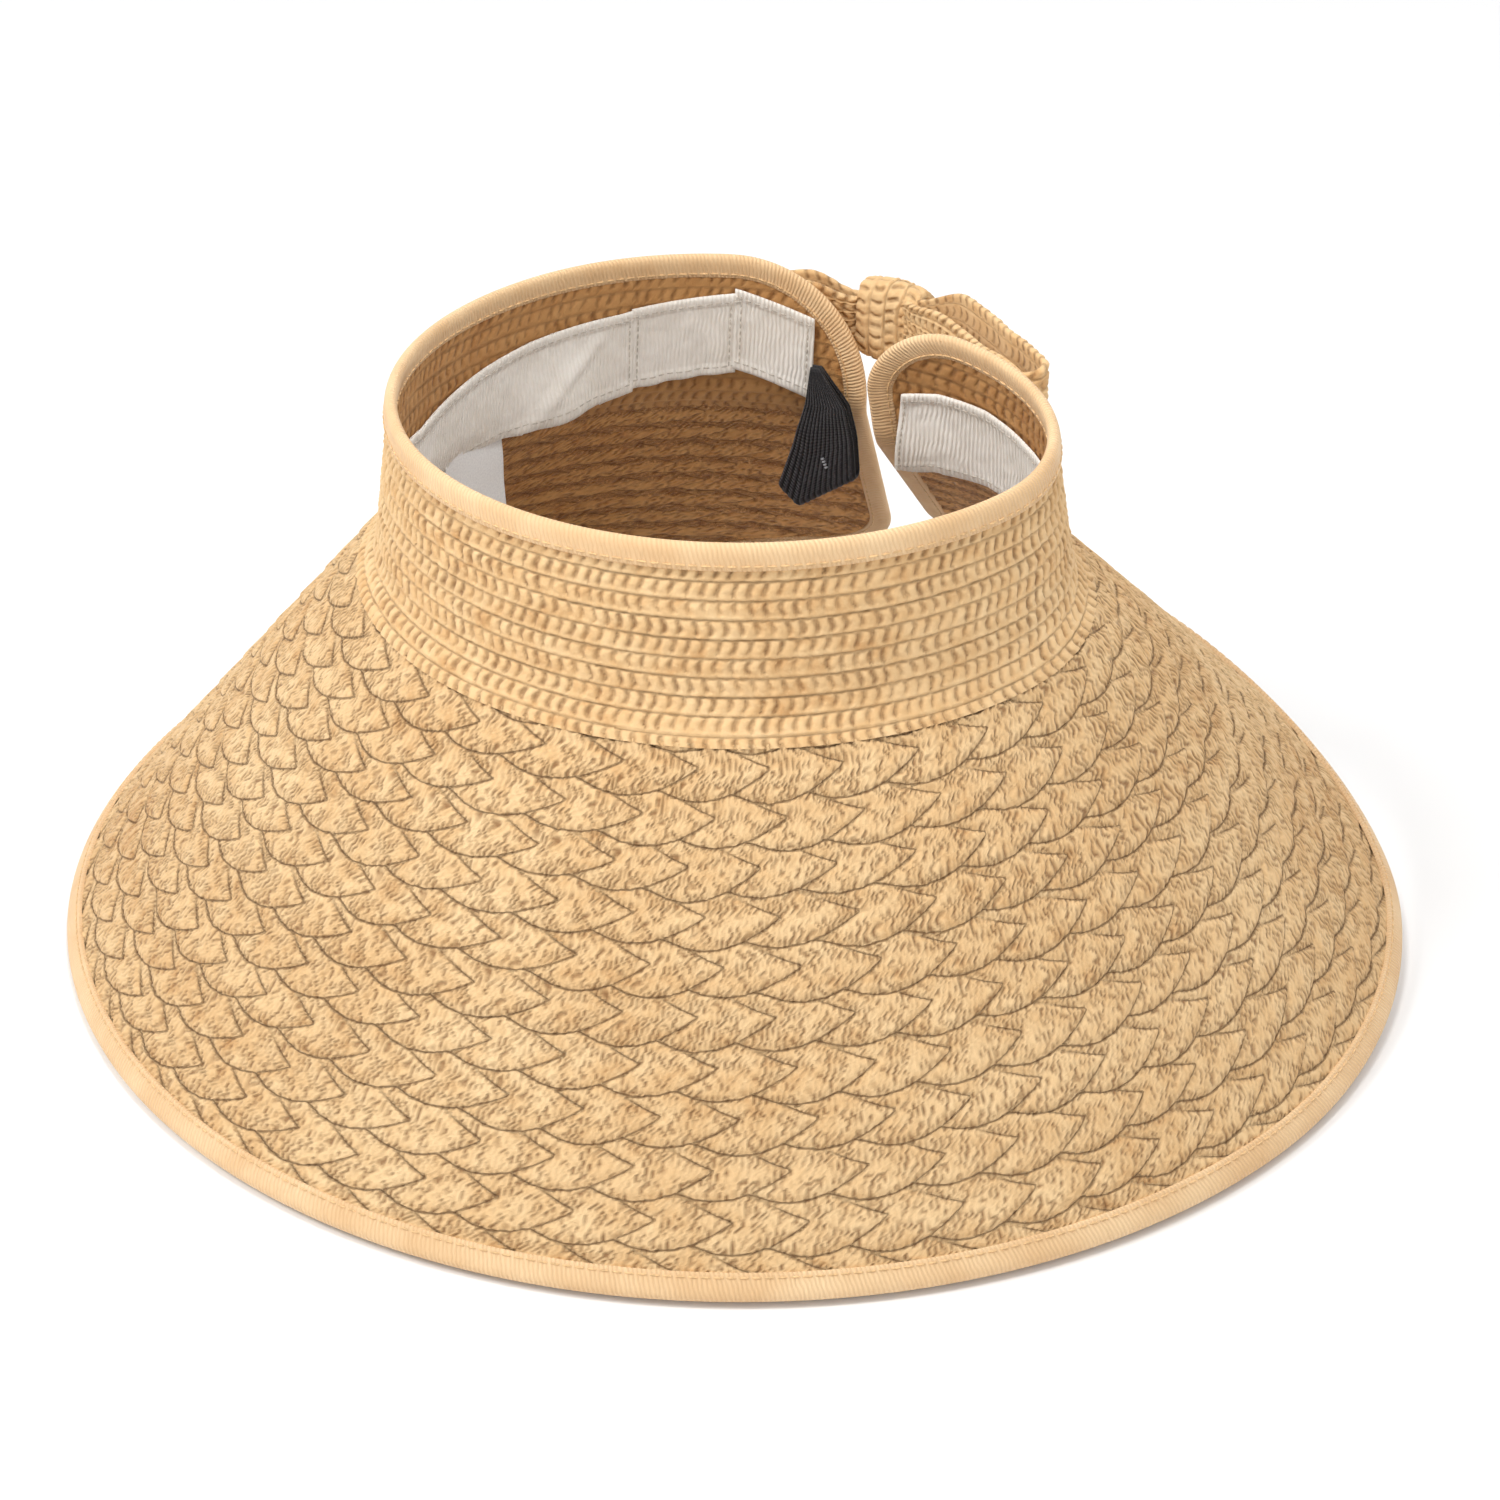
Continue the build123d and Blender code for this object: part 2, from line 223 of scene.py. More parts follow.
def run_length(points):
    """Distance along a line of points, at each of them."""
    return np.concatenate([[0], np.cumsum(np.linalg.norm(np.diff(points, axis=0), axis=1))])


# ---- material helpers ----
class Nodes:
    """A short way to write a node material."""

    def __init__(self, name, roughness, specular=0.3, sheen=0.0):
        self.material = bpy.data.materials.new(name)
        self.material.use_nodes = True
        self.tree = self.material.node_tree
        self.shader = self.tree.nodes["Principled BSDF"]
        self.shader.inputs["Roughness"].default_value = roughness
        self.shader.inputs["Specular IOR Level"].default_value = specular
        self.shader.inputs["Sheen Weight"].default_value = sheen

    def node(self, kind, inputs=(), **settings):
        made = self.tree.nodes.new(kind)
        for key, value in settings.items():
            setattr(made, key, value)
        for key, value in dict(inputs).items():
            self.put(made.inputs[key], value)
        return made

    def put(self, socket, value):
        if isinstance(value, bpy.types.NodeSocket):
            self.tree.links.new(value, socket)
        elif isinstance(value, bpy.types.Node):
            self.tree.links.new(value.outputs[0], socket)
        else:
            socket.default_value = value

    def math(self, operation, a, b=0.0, c=0.0):
        return self.node("ShaderNodeMath", {0: a, 1: b, 2: c}, operation=operation)

    def ramp(self, value, stops):
        made = self.node("ShaderNodeValToRGB", {"Fac": value})
        elements = made.color_ramp.elements
        while len(elements) < len(stops):
            elements.new(0.5)
        for element, (at, colour) in zip(elements, stops):
            element.position = at
            element.color = (*colour, 1)
        return made

    def span(self, value, low, high, to_low=0.0, to_high=1.0):
        return self.node("ShaderNodeMapRange", {"Value": value, "From Min": low, "From Max": high,
                                               "To Min": to_low, "To Max": to_high},
                         interpolation_type="SMOOTHSTEP")

    def noise(self, vector, scale, detail=2.0, rough=0.5):
        return self.node("ShaderNodeTexNoise", {"Vector": vector, "Scale": scale,
                                                "Detail": detail, "Roughness": rough})

    def attribute(self, name, output="Vector"):
        return self.node("ShaderNodeAttribute", attribute_name=name).outputs[output]

    def position(self):
        return self.node("ShaderNodeTexCoord").outputs["Object"]

    def split(self, vector):
        return self.node("ShaderNodeSeparateXYZ", {"Vector": vector}).outputs

    def wave(self, value, pitch):
        return self.math("SINE", self.math("MULTIPLY", value, 2 * math.pi / pitch))

    def mix(self, factor, a, b, blend="MIX"):
        made = self.node("ShaderNodeMix", data_type="RGBA", blend_type=blend)
        for index, value in ((0, factor), (6, a), (7, b)):
            self.put(made.inputs[index], (*value, 1.0) if isinstance(value, tuple) else value)
        return made.outputs[2]

    def bump(self, height, distance, strength=1.0):
        made = self.node("ShaderNodeBump", {"Height": height, "Distance": distance,
                                            "Strength": strength})
        self.put(self.shader.inputs["Normal"], made)

    def colour(self, value):
        self.put(self.shader.inputs["Base Color"], value)


def srgb(r, g, b):
    return tuple((c / 255 / 12.92) if c <= 10 else ((c / 255 + 0.055) / 1.055) ** 2.4
                 for c in (r, g, b))


STRAW_LIGHT, STRAW, STRAW_DARK = srgb(238, 204, 155), srgb(224, 184, 132), srgb(196, 146, 92)
# the first colour is painted shade for the gaps and creases between the straws, the second painted
# shade along the overlapped edges of the rows and the scales
GAP_SHADE, EDGE_SHADE = srgb(118, 76, 38), srgb(132, 88, 46)
# warm dark tints multiplied into the inside faces of the straw: painted shade
INSIDE_CROWN_SHADE, INSIDE_BRIM_SHADE = (0.74, 0.58, 0.42), (0.90, 0.70, 0.47)


def straw_material(name, tone=None, strands=True):
    """Paper straw: tan strands with fine fibres, painted shade in the gaps and along the overlapped
    edges, light flecks that are partly painted highlights, and slow changes of tone. The attribute
    row has the distances along and across a row and the row itself, in mm; gap is 1 in a gap and
    gets painted shade; lap has the signed distances to the edges of the rows and the scales. A tone
    multiplies the colour as painted shade for the inside faces."""
    m = Nodes(name, 0.66, 0.22, 0.05)
    vector, gap = m.attribute("row"), m.attribute("gap", "Fac")
    slow = m.noise(m.position(), 22.0, 3.0)
    patch = m.noise(vector, 0.16, 2.0)
    speck = m.noise(vector, 0.9, 3.0, 0.6)
    base = m.ramp(m.math("ADD", m.math("MULTIPLY", slow, 0.4), m.math("MULTIPLY", patch, 0.6)),
                  [(0.26, STRAW_DARK), (0.42, STRAW), (0.66, STRAW_LIGHT)])
    # light flecks: partly the straw's own mottling, partly painted highlights
    colour = m.mix(m.span(speck, 0.50, 0.72, 0.0, 0.4), base.outputs[0], STRAW_LIGHT)
    height = m.math("MULTIPLY", gap, -0.8)
    if strands:
        edges = m.split(m.attribute("lap"))
        thin = m.noise(vector, 0.30, 2.0)
        width = m.span(thin, 0.35, 0.65, 0.16, 0.46)
        # painted shade along the overlapped edges of the rows and the scales
        row_edge_shade = m.span(m.math("ABSOLUTE", edges[0]), 0.0, width, 1.0, 0.0)
        arc_edge_shade = m.span(m.math("ABSOLUTE", edges[1]), 0.0, width, 0.9, 0.0)
        arc_edge_shade = m.math("MULTIPLY", arc_edge_shade, edges[2])
        line = m.math("MAXIMUM", row_edge_shade, arc_edge_shade)
        colour = m.mix(m.math("MULTIPLY", line, m.span(speck, 0.35, 0.65, 0.45, 0.8)), colour,
                       EDGE_SHADE)
        height = m.math("ADD", height, m.math("MULTIPLY", line, -0.9))
    fibre = m.noise(vector, 3.2, 2.0)
    height = m.math("ADD", height, m.math("MULTIPLY", fibre, 0.35))
    blot = m.noise(vector, 0.55, 2.0)
    # painted shade in the gaps and creases between the straws, stronger in blots
    gap_shade = m.math("MULTIPLY", gap, m.span(blot, 0.36, 0.64, 0.8 * 0.62, 0.8))
    colour = m.mix(gap_shade, colour, GAP_SHADE)
    if tone and strands:  # the rows turn their seams to the inside of the brim
        # painted shade in bands along the seams between the rows
        band = m.wave(m.split(vector)[1], PLAIT_ROW)
        row_shade = m.math("ADD", band, m.span(speck, 0.3, 0.7, -0.9, 0.9))
        colour = m.mix(m.span(row_shade, -0.2, 1.3, 0.0, 0.62), colour, GAP_SHADE)
        # painted highlight flecks on the inner brim
        colour = m.mix(m.span(speck, 0.56, 0.70, 0.0, 0.55), colour, STRAW_LIGHT)
    # the tone darkens the inside faces as painted shade
    if tone:
        colour = m.mix(1.0, colour, tone, "MULTIPLY")
    m.colour(colour)
    m.bump(height, 0.0007, 0.9)
    return m.material


def binding_material():
    m = Nodes("binding_tape", 0.6, 0.25, 0.1)
    place = m.attribute("row")
    split = m.split(place)
    along = m.math("ADD", split[0], m.math("MULTIPLY", m.noise(place, 0.35, 1.0), 0.8))
    along = m.math("ADD", along, m.math("MULTIPLY", split[1], 0.28))
    rib = m.wave(along, TAPE_RIB)
    patch = m.noise(place, 0.06, 2.0)
    base = m.ramp(patch, [(0.3, srgb(228, 188, 140)), (0.7, srgb(241, 207, 162))])
    colour = m.mix(m.span(rib, 0.25, 1.0, 0.0, 0.22), base.outputs[0], srgb(190, 140, 90))
    m.colour(colour)
    m.bump(rib, 0.00016, 0.7)
    return m.material


def cotton_material():
    m = Nodes("sweatband_cotton", 0.85, 0.2, 0.25)
    place = m.attribute("row")
    warp = m.math("MULTIPLY", m.noise(place, 0.12, 2.0), 2.2)
    rib = m.wave(m.math("ADD", m.split(place)[0], warp), COTTON_RIB)
    fine = m.noise(place, 2.4, 2.0)
    patch = m.noise(place, 0.05, 2.0)
    base = m.ramp(patch, [(0.3, srgb(240, 234, 224)), (0.7, srgb(250, 246, 239))])
    colour = m.mix(m.span(rib, 0.2, 1.0, 0.0, 0.16), base.outputs[0], srgb(196, 184, 168))
    colour = m.mix(m.span(fine, 0.55, 0.8, 0.0, 0.2), colour, srgb(240, 236, 230))
    m.colour(colour)
    m.bump(m.math("ADD", m.math("MULTIPLY", rib, 0.5), fine), 0.0003, 0.7)
    return m.material


def elastic_material():
    m = Nodes("elastic_webbing", 0.75, 0.25, 0.15)
    place = m.attribute("row")
    split = m.split(place)
    rib, pick = m.wave(split[0], KEEPER_RIB), m.wave(split[1], 0.9)
    fine = m.noise(place, 1.6, 2.0)
    tone = m.math("ADD", m.math("MULTIPLY", rib, 0.35), m.math("MULTIPLY", fine, 0.65))
    base = m.ramp(tone, [(0.15, srgb(14, 12, 14)), (0.62, srgb(46, 42, 46)),
                         (0.85, srgb(92, 88, 92))])
    m.colour(base.outputs[0])
    m.bump(m.math("ADD", rib, m.math("MULTIPLY", pick, 0.3)), 0.0004, 0.9)
    return m.material


def satin_material():
    m = Nodes("label_satin", 0.42, 0.4, 0.2)
    fine = m.noise(m.attribute("row"), 1.8, 2.0)
    m.colour(m.ramp(fine, [(0.3, srgb(226, 226, 226)), (0.7, srgb(242, 242, 240))]).outputs[0])
    m.bump(fine, 0.00008, 0.6)
    return m.material


def hook_material():
    """The pile of hook and loop tape, on nodes that come straight from the CAD."""
    m = Nodes("hook_and_loop", 0.8, 0.25)
    pile = m.node("ShaderNodeTexVoronoi", {"Vector": m.position(), "Scale": 1100.0})
    m.colour(m.ramp(pile.outputs["Distance"], [(0.0, srgb(222, 184, 140)),
                                               (0.7, srgb(150, 110, 70))]).outputs[0])
    m.bump(pile.outputs["Distance"], 0.0004, 1.0)
    return m.material


def thread_material(name, colour):
    m = Nodes(name, 0.55, 0.3)
    fine = m.noise(m.position(), 900.0, 2.0)
    light = tuple(min(1.0, c * 1.12) for c in colour)
    dark = tuple(c * 0.82 for c in colour)
    m.colour(m.ramp(fine, [(0.35, dark), (0.65, light)]).outputs[0])
    m.bump(fine, 0.0001, 0.6)
    return m.material


MAT = {
    "brim": straw_material("straw_plait"),
    "crown": straw_material("straw_knit", strands=False),
    "inner_brim": straw_material("straw_inner_brim_shaded", tone=INSIDE_BRIM_SHADE),
    "inner_crown": straw_material("straw_inner_crown_shaded", tone=INSIDE_CROWN_SHADE, strands=False),
    "binding": binding_material(),
    "cotton": cotton_material(),
    "elastic": elastic_material(),
    "satin": satin_material(),
    "hook": hook_material(),
    "tan_thread": thread_material("tan_thread", srgb(228, 190, 140)),
    "white_thread": thread_material("white_thread", srgb(206, 198, 186)),
    "grey_thread": thread_material("grey_thread", srgb(150, 152, 156)),
}

# ---- plaited brim ----
SCALE = 18.5  # length of one plait scale
MID = 0.57  # where the scales' points lie across a row, from its lower edge
REACH = 2.2  # how far an edge's distance is followed
# a scale's outline: its lower and upper edge at places behind its point, in scales and rows
BELLY_X = np.array((-2.4, -1.9, -1.49, -1.25, -1.02, -0.74, -0.49, -0.22, -0.06, 0.0))
LOWER_Y = np.array((-0.30, -0.36, -0.50, -0.625, -0.67, -0.61, -0.47, -0.24, -0.08, 0.0))
UPPER_Y = np.array((0.75, 0.75, 0.75, 0.75, 0.68, 0.50, 0.32, 0.13, 0.04, 0.0))


def strokes(place):
    """Short, wavy, upright dashes between the crimped straws of a scale: creases sunk into the
    relief and painted with shade.
    """
    along, across, row = place[..., 0], place[..., 1], place[..., 2]
    bend = 0.45 * np.sin(across * 1.7 + 2.5 * smooth_noise(along, across, 51, 5.0))
    bend = bend + 1.0 * smooth_noise(along + row, across, 52, 2.6)
    place_in_run = (along + bend) / 1.62
    straw_number = np.floor(place_in_run)
    line = 1 - ease(np.abs(place_in_run - straw_number - 0.5), 0.08, 0.40)
    shade = smooth_noise(straw_number * 5.3 + row, across, 53, 1.5)
    return line * (0.25 + 0.75 * ease(shade, -0.55, 0.30))


def plait(around, slant):
    """Height, gap mask, row coordinates and edge distances of the plaited brim. around gives the
    distance along the shell at a slant."""
    shape = slant.shape
    depth, place = np.full(shape, -0.2), np.zeros((*shape, 3))
    lap = np.full((*shape, 3), REACH)
    above = np.full(shape, REACH)  # distance below the lower edge of the row above
    rows = int(math.ceil((FULL - JOINT) / PLAIT_ROW)) + 1
    done = np.zeros(shape, bool)
    for row in range(-2, rows + 1):  # an upper row lies over the one below it
        centre = JOINT + (row + 1 - MID) * PLAIT_ROW
        along = around(np.full_like(slant, centre))
        wobble = smooth_noise(along, slant * 0 + row * 7.3, 11, 60.0)
        y = (centre - slant) / PLAIT_ROW + 0.03 * wobble
        shift = SCALE * (0.37 * row + 0.15 * math.sin(2.1 * row))
        x = (along + shift + 2.4 * smooth_noise(along, slant * 0 + row * 3.1, 5, 45.0)) / SCALE
        cell = np.ceil(x)
        size = 1 + 0.10 * np.random.default_rng(row + 9).uniform(-1, 1, 128)
        steps = [x - (cell + k) for k in (-1, 0, 1, 2)]  # from the points of four scales
        scaled = [size[(cell + k).astype(int) % 128] for k in (-1, 0, 1, 2)]
        lows = [np.interp(dx, BELLY_X, LOWER_Y) * f for dx, f in zip(steps, scaled)]
        highs = [np.interp(dx, BELLY_X, UPPER_Y) for dx in steps]
        envelope = np.minimum.reduce(lows[1:])
        own = (y - envelope) * PLAIT_ROW
        inside_row = (own >= 0) & ~done & (y < 1.2)
        sign = 1.0 if row % 2 else -1.0
        to_edge = np.minimum(np.clip(own, 0, REACH), np.clip(above, 0, REACH))
        lap[..., 0] = np.where(inside_row, sign * to_edge, lap[..., 0])
        left = inside_row.copy()
        for k in (1, 2, 3):  # a scale lies over the next one to its right
            dx, low, high = steps[k], lows[k], highs[k]
            inside = left & (y >= low) & (y <= high)
            if k == 3:
                inside = left
            up_to = np.where(high < 0.7, (high - y) * PLAIT_ROW, REACH)
            down_to = np.where(low > envelope + 0.015, (y - low) * PLAIT_ROW, REACH)
            past_edge = np.maximum(lows[k - 1] - y, y - highs[k - 1]) * PLAIT_ROW
            outside = np.maximum(past_edge, steps[k - 1] * SCALE)
            seam = np.clip(np.minimum(np.minimum(up_to, down_to), outside), 0, REACH)
            number = cell + k - 1
            parity = np.where(number.astype(int) % 2 == 0, 1.0, -1.0)
            lap[..., 1] = np.where(inside, parity * seam, lap[..., 1])
            edge = np.minimum(np.clip(own, 0, 9), seam)
            lift = 0.55 * (1 + 0.8 * np.clip(dx, -1.5, 0)) + 0.55 * ease(edge, 0.0, 1.9) - 0.35
            lift = lift + 0.45 * np.clip(0.5 - y, 0, 1) * ease(own, -0.2, 0.9)
            depth = np.where(inside, lift, depth)
            place[..., 0] = np.where(inside, dx * SCALE + number * 3.7, place[..., 0])
            left &= ~inside
        past_point = np.ceil(x) - x  # how far left of the nearest point, in scales
        fade = 1 - ease(past_point, 0.30, 0.55) * ease(y, 0.02, 0.10)
        lap[..., 2] = np.where(inside_row, fade, lap[..., 2])
        place[..., 1] = np.where(inside_row, y * PLAIT_ROW, place[..., 1])
        place[..., 2] = np.where(inside_row, row * 13.0, place[..., 2])
        done |= inside_row
        above = -own
    gap = strokes(place)
    return depth - 0.30 * gap, gap, place, lap


def arc_length(azimuth, slant):
    """Distance round the shell from the front, at that slant, in mm."""
    r = meridian(slant, 0.0)[0]
    total = np.radians(np.clip(azimuth, -ENDS[-1][0], ENDS[1][0])) * r
    for side in (-1, 1):
        past = np.maximum(side * azimuth - ENDS[side][0], 0)
        total = total + side * np.radians(past) * (r - RIM_RADIUS + ENDS[side][1])
    return total


STRAW_INSET, PATTERN_SHIFT = 3.0, 6.0  # how far the straw stops short of the edge


def shell_grid(slants, step, inset):
    """Azimuth and slant of a grid over the shell, and the cells inside the trimmed outline."""
    columns = np.arange(-ENDS[-1][0] - ENDS[-1][3], ENDS[1][0] + ENDS[1][3] + step, step)
    azimuth, slant = np.meshgrid(columns, slants)
    inside = np.ones(azimuth.shape, bool)
    for side in (-1, 1):
        local = np.radians(1) * local_radius(side, slant)
        inside &= side * azimuth * local <= limit(side, slant) * local - inset
        on_side = side * azimuth > TAPER[0]
        inside &= ~on_side | (slant <= brim_edge(side, azimuth) - inset)
    inside &= (slant <= FULL - 0.3 * inset) & (slant >= 0.3 * inset)
    cells = inside[:-1, :-1] & inside[:-1, 1:] & inside[1:, 1:] & inside[1:, :-1]
    return azimuth, slant, cells


def straw_face(slants, step, relief, inner):
    """One face of the shell with its relief: points, faces and attributes."""
    azimuth, slant, cells = shell_grid(slants, step, STRAW_INSET)
    flip = -1.0 if inner else 1.0
    depth, gap, place, lap = relief(lambda s: flip * arc_length(azimuth, s) + PATTERN_SHIFT, slant)
    level = -1.0 - 0.45 * np.clip(depth, -0.3, 1.1) if inner else np.clip(depth, -0.3, 1.35)
    faces = grid_faces(*azimuth.shape, keep=cells, flip=not inner)
    return compact(shell(azimuth, slant, level).reshape(-1, 3), faces,
                   {"row": place.reshape(-1, 3), "gap": gap.ravel(), "lap": lap.reshape(-1, 3)})


def straw_shell(name, node, slants, step, relief, skins, inner_step):
    """The outer face of the straw and its coarser inner face, as two pieces."""
    inner_slants = np.arange(slants[0], slants[-1] + inner_step, inner_step)
    for word, skin, rows, columns in (("", skins[0], slants, step),
                                      ("_inside", skins[1], inner_slants, 0.5)):
        points, faces, attributes = straw_face(rows, columns, relief, bool(word))
        piece = mesh_object(name + word, points, faces, "root", skin, attributes)
        if not word:
            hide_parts(node)


straw_shell("brim_plait", "brim_braid", np.arange(JOINT - 0.5, FULL - 0.7, 0.62), 0.26, plait,
            (MAT["brim"], MAT["inner_brim"]), 1.2)

# ---- knitted crown ----
KNIT_ROW, STITCH = 4.85, 3.6  # pitch of the rows and of the stitches
STITCH_OFFSETS = np.random.default_rng(3).uniform(0, 1, 32)
STITCH_CHANCE = np.random.default_rng(4).uniform(-1, 1, (64, 64))


def knit(around, slant):
    """Height, gap mask and row coordinates of the finely knitted braid."""
    wander = 0.45 * smooth_noise(around(slant), slant, 23, 55.0)
    rows = (slant + wander) / KNIT_ROW
    row = np.floor(rows)
    y = rows - row  # 0 at a row's upper edge
    along = around((row + 0.5) * KNIT_ROW)
    x = along / STITCH + STITCH_OFFSETS[row.astype(int) % 32]
    x = x + 0.40 * smooth_noise(along, row * 5.7, 29, 17.0)
    x = x + 0.10 * np.sin(2 * np.pi * (y + 0.3 * row))
    stitch = np.floor(x)
    u = x - stitch
    chance = STITCH_CHANCE[stitch.astype(int) % 64, row.astype(int) % 64]
    side = np.minimum(u, 1 - u)
    side = side + 0.05 * smooth_noise(along, slant, 31, 1.3)
    hole = 1 - ease(side, 0.02, 0.27 + 0.07 * chance)
    hole = hole * ease(y, 0.02, 0.16) * (1 - ease(y, 0.60 + 0.14 * chance, 0.86 + 0.10 * chance))
    line = np.minimum(y, 1 - y)
    groove = (1 - ease(line, 0.0, 0.12)) * (0.55 + 0.45 * smooth_noise(along, row * 3.3, 37, 2.0))
    block = np.sin(np.pi * np.clip(u, 0, 1)) ** 0.7 * np.sin(np.pi * np.clip(y * 1.02, 0, 1)) ** 0.5
    strand = np.exp(-((y - 0.88) / 0.09) ** 2)
    depth = 0.15 + 0.80 * block * (1 - 0.9 * hole) + 0.35 * strand + 0.10 * chance
    depth = depth - 0.35 * groove
    depth = depth + 0.16 * smooth_noise(along, slant, 38, 0.9)
    # the holes and the grooves between rows, which the straw material paints with shade
    gap = np.clip((0.74 + 0.26 * chance) * hole + 0.5 * groove * (0.7 + 0.3 * chance), 0, 1)
    place = np.stack([x * STITCH, y * KNIT_ROW, row * 9.0], -1)
    return depth, gap, place, np.zeros_like(place)


straw_shell("crown_knit", "crown_braid", np.arange(0.8, JOINT + 1.0, 0.42), 0.30, knit,
            (MAT["crown"], MAT["inner_crown"]), 0.8)


# ---- binding tape ----
def resample(path, step):
    """Points about a step apart along a path of (azimuth, slant), measured on the shell."""
    along = run_length(shell(path[:, 0], path[:, 1], 0.0))
    at = np.linspace(0, along[-1], max(2, int(along[-1] / step)))
    return np.stack([np.interp(at, along, path[:, k]) for k in (0, 1)], -1)


def soften(path, times):
    for _ in range(times):
        path[1:-1] = 0.25 * path[:-2] + 0.5 * path[1:-1] + 0.25 * path[2:]
    return path


EDGE_STEP, OVERLAP = 0.45, 59  # pitch of the edge's points, and how many join its two ends


def loop_path():
    """The whole bound edge, round the rim, down the right end, along the brim and back up."""
    right, left = OUTLINE[1], OUTLINE[-1]
    rim = np.stack([np.linspace(left[0, 0], right[0, 0], 200), np.zeros(200)], -1)
    hem = np.stack([np.linspace(TAPER[0], -TAPER[0], 300), np.full(300, FULL)], -1)
    path = resample(np.concatenate([rim[:-1], right[:-1], hem[:-1], left[::-1]]), EDGE_STEP)
    closed = np.concatenate([path[-OVERLAP - 1:-1], path, path[1:OVERLAP + 1]])
    return soften(closed, 30)[OVERLAP:-OVERLAP]


def inward_steps(path):
    """Steps of 1 mm inward from the edge, in (azimuth, slant)."""
    side = np.where(path[:, 0] > 0, 1, -1)
    zone = np.where(side > 0, ENDS[1][0], ENDS[-1][0])
    r = meridian(path[:, 1], 0.0)[0]
    local = np.where(np.abs(path[:, 0]) > zone,
                     r - RIM_RADIUS + np.where(side > 0, ENDS[1][1], ENDS[-1][1]), r)
    per_degree = np.radians(1) * local
    tangent = np.gradient(path, axis=0) * np.stack([per_degree, np.ones(len(path))], -1)
    tangent /= np.linalg.norm(tangent, axis=1)[:, None]
    inward = np.stack([-tangent[:, 1], tangent[:, 0]], -1)
    inward = soften(inward.copy(), 10)
    return inward / np.stack([per_degree, np.ones(len(path))], -1)


EDGE = loop_path()
INWARD = inward_steps(EDGE)
EDGE_LENGTH = run_length(shell(EDGE[:, 0], EDGE[:, 1], 0.0))
STITCH_INSET, STITCH_DEPTH, STITCH_PITCH = 5.5, 1.62, 3.0
# the tape's section, from the outer face over to the inner: distance in from the edge, and depth
SECTION = [(6.8, 0.55), (6.7, 1.35), (6.3, 1.62), (5.4, 1.60), (3.9, 1.68), (2.4, 1.66),
           (1.2, 1.45), (0.5, 0.95), (0.12, 0.35), (0.05, -0.2), (0.3, -0.85), (1.0, -1.45),
           (2.4, -1.66), (3.9, -1.66), (5.4, -1.60), (6.3, -1.62), (6.7, -1.35), (6.8, -0.55)]


def tape(name, node, chosen):
    edge, inward, length = EDGE[chosen], INWARD[chosen], EDGE_LENGTH[chosen]
    inset, depth = np.array(SECTION).T
    wave = 0.25 * smooth_noise(length, length * 0, 41, 23.0)
    wide = inset[None, :] * (1 + 0.03 * wave[:, None])
    azimuth = edge[:, None, 0] + inward[:, None, 0] * wide
    slant = edge[:, None, 1] + inward[:, None, 1] * wide
    sink = 0.16 * np.exp(-((inset - STITCH_INSET) / 0.55) ** 2)
    stitch = 0.5 + 0.5 * np.cos(2 * np.pi * length / STITCH_PITCH)[:, None]
    level = np.sign(depth) * (np.abs(depth) - sink[None, :] * (1 - 0.6 * stitch))
    level = level + 0.05 * np.sin(2 * np.pi * length / TAPE_RIB)[:, None] * (np.abs(depth) > 1)
    points = shell(azimuth, slant, level)
    along = np.concatenate([[0], np.cumsum(np.hypot(np.diff(inset), np.diff(depth)))])
    place = np.stack(np.broadcast_arrays(length[:, None], along[None, :], 0 * azimuth), -1)
    piece = mesh_object(name, points, grid_faces(*azimuth.shape, flip=True), "root",
                        MAT["binding"], {"row": place.reshape(-1, 3)})
    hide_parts(node)
    threads = stitches(name + "_stitches", edge, inward, length)


def capsule_run(centres, directions, normals, long, thick_mm):
    """Small flattened capsules, one per stitch, as one mesh."""
    ring = 6
    turn = np.linspace(0, 2 * np.pi, ring, endpoint=False)
    profile = [(-0.5, 0.25), (-0.38, 0.8), (0.0, 1.0), (0.38, 0.8), (0.5, 0.25)]
    side = np.cross(directions, normals)
    rows = []
    for at, wide in profile:
        offset = (np.cos(turn)[None, :, None] * side[:, None, :]
                  + np.sin(turn)[None, :, None] * normals[:, None, :] * 0.8)
        rows.append(centres[:, None, :] + directions[:, None, :] * at * long
                    + offset * wide * thick_mm / 2)
    points = np.stack(rows, 1)
    count, layers = len(centres), len(profile)
    index = np.arange(count * layers * ring).reshape(count, layers, ring)
    a, b = index[:, :-1, :], index[:, 1:, :]
    faces = np.stack([a, np.roll(a, -1, 2), np.roll(b, -1, 2), b], -1).reshape(-1, 4)
    return points.reshape(-1, 3), faces


def stitches(name, edge, inward, length):
    """The tape's stitches on both faces."""
    pitch = STITCH_PITCH
    at = np.arange(length[0] + pitch / 2, length[-1], pitch)
    parts = []
    for level in (STITCH_DEPTH, -STITCH_DEPTH):
        points = []
        for where in (at - 0.35 * pitch, at, at + 0.35 * pitch):
            azimuth, slant = (np.interp(where, length, edge[:, k] + inward[:, k] * STITCH_INSET)
                              for k in (0, 1))
            points.append(shell(azimuth, slant, level))
        run = points[2] - points[0]
        run /= np.linalg.norm(run, axis=1)[:, None]
        normal = shell(azimuth, slant, level + 1.0) - points[2]
        parts.append(capsule_run(points[1], run, normal, pitch * 0.78, 0.55))
    faces = np.concatenate([parts[0][1], parts[1][1] + len(parts[0][0])])
    piece = mesh_object(name, np.concatenate([p for p, _ in parts]), faces, "root",
                        MAT["tan_thread"])
    return piece


def edge_index(azimuth, slant, weight):
    """The point of the edge nearest to a place."""
    return np.argmin(np.abs(EDGE[:, 0] - azimuth) + weight * np.abs(EDGE[:, 1] - slant))


